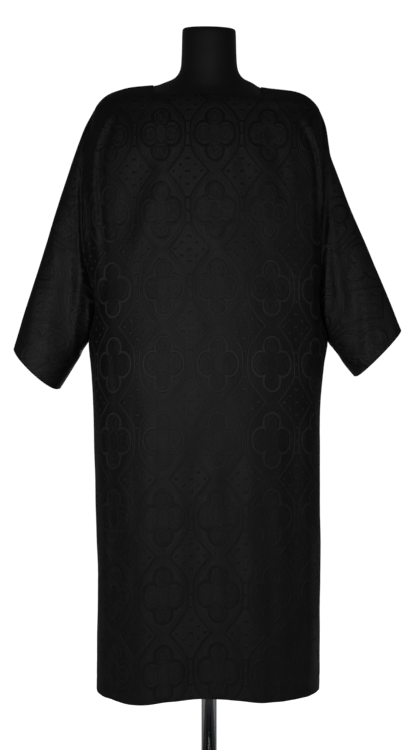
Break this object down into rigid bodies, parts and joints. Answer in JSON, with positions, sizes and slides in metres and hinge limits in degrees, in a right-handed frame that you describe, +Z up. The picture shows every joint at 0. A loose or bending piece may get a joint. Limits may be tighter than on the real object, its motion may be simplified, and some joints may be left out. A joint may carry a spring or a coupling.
{
  "type": "dalmatic on a dress form",
  "caption": "Calf-length damask vestment with open half-length sleeves, a wide square neck and open hem, worn by a limbless form on a round stand.",
  "frame": {"origin": "middle of the stand's underside, on the floor", "axes": "+Z up the stand's pole; the garment's front faces -Y and its right sleeve as a viewer sees it lies towards +X"},
  "size_m": [0.8072, 0.38, 1.683],
  "materials": {
    "damask": "satin and matt woven figure",
    "form_cover": "matt stretch jersey",
    "stand_metal": "polished"
  },
  "bodies": {
    "root": {"front_panel": "damask", "back_panel": "damask", "sleeve_left": "damask", "sleeve_right": "damask", "form_torso": "form_cover", "stand_pole": "stand_metal", "stand_base": "stand_metal"}
  },
  "joints": []
}
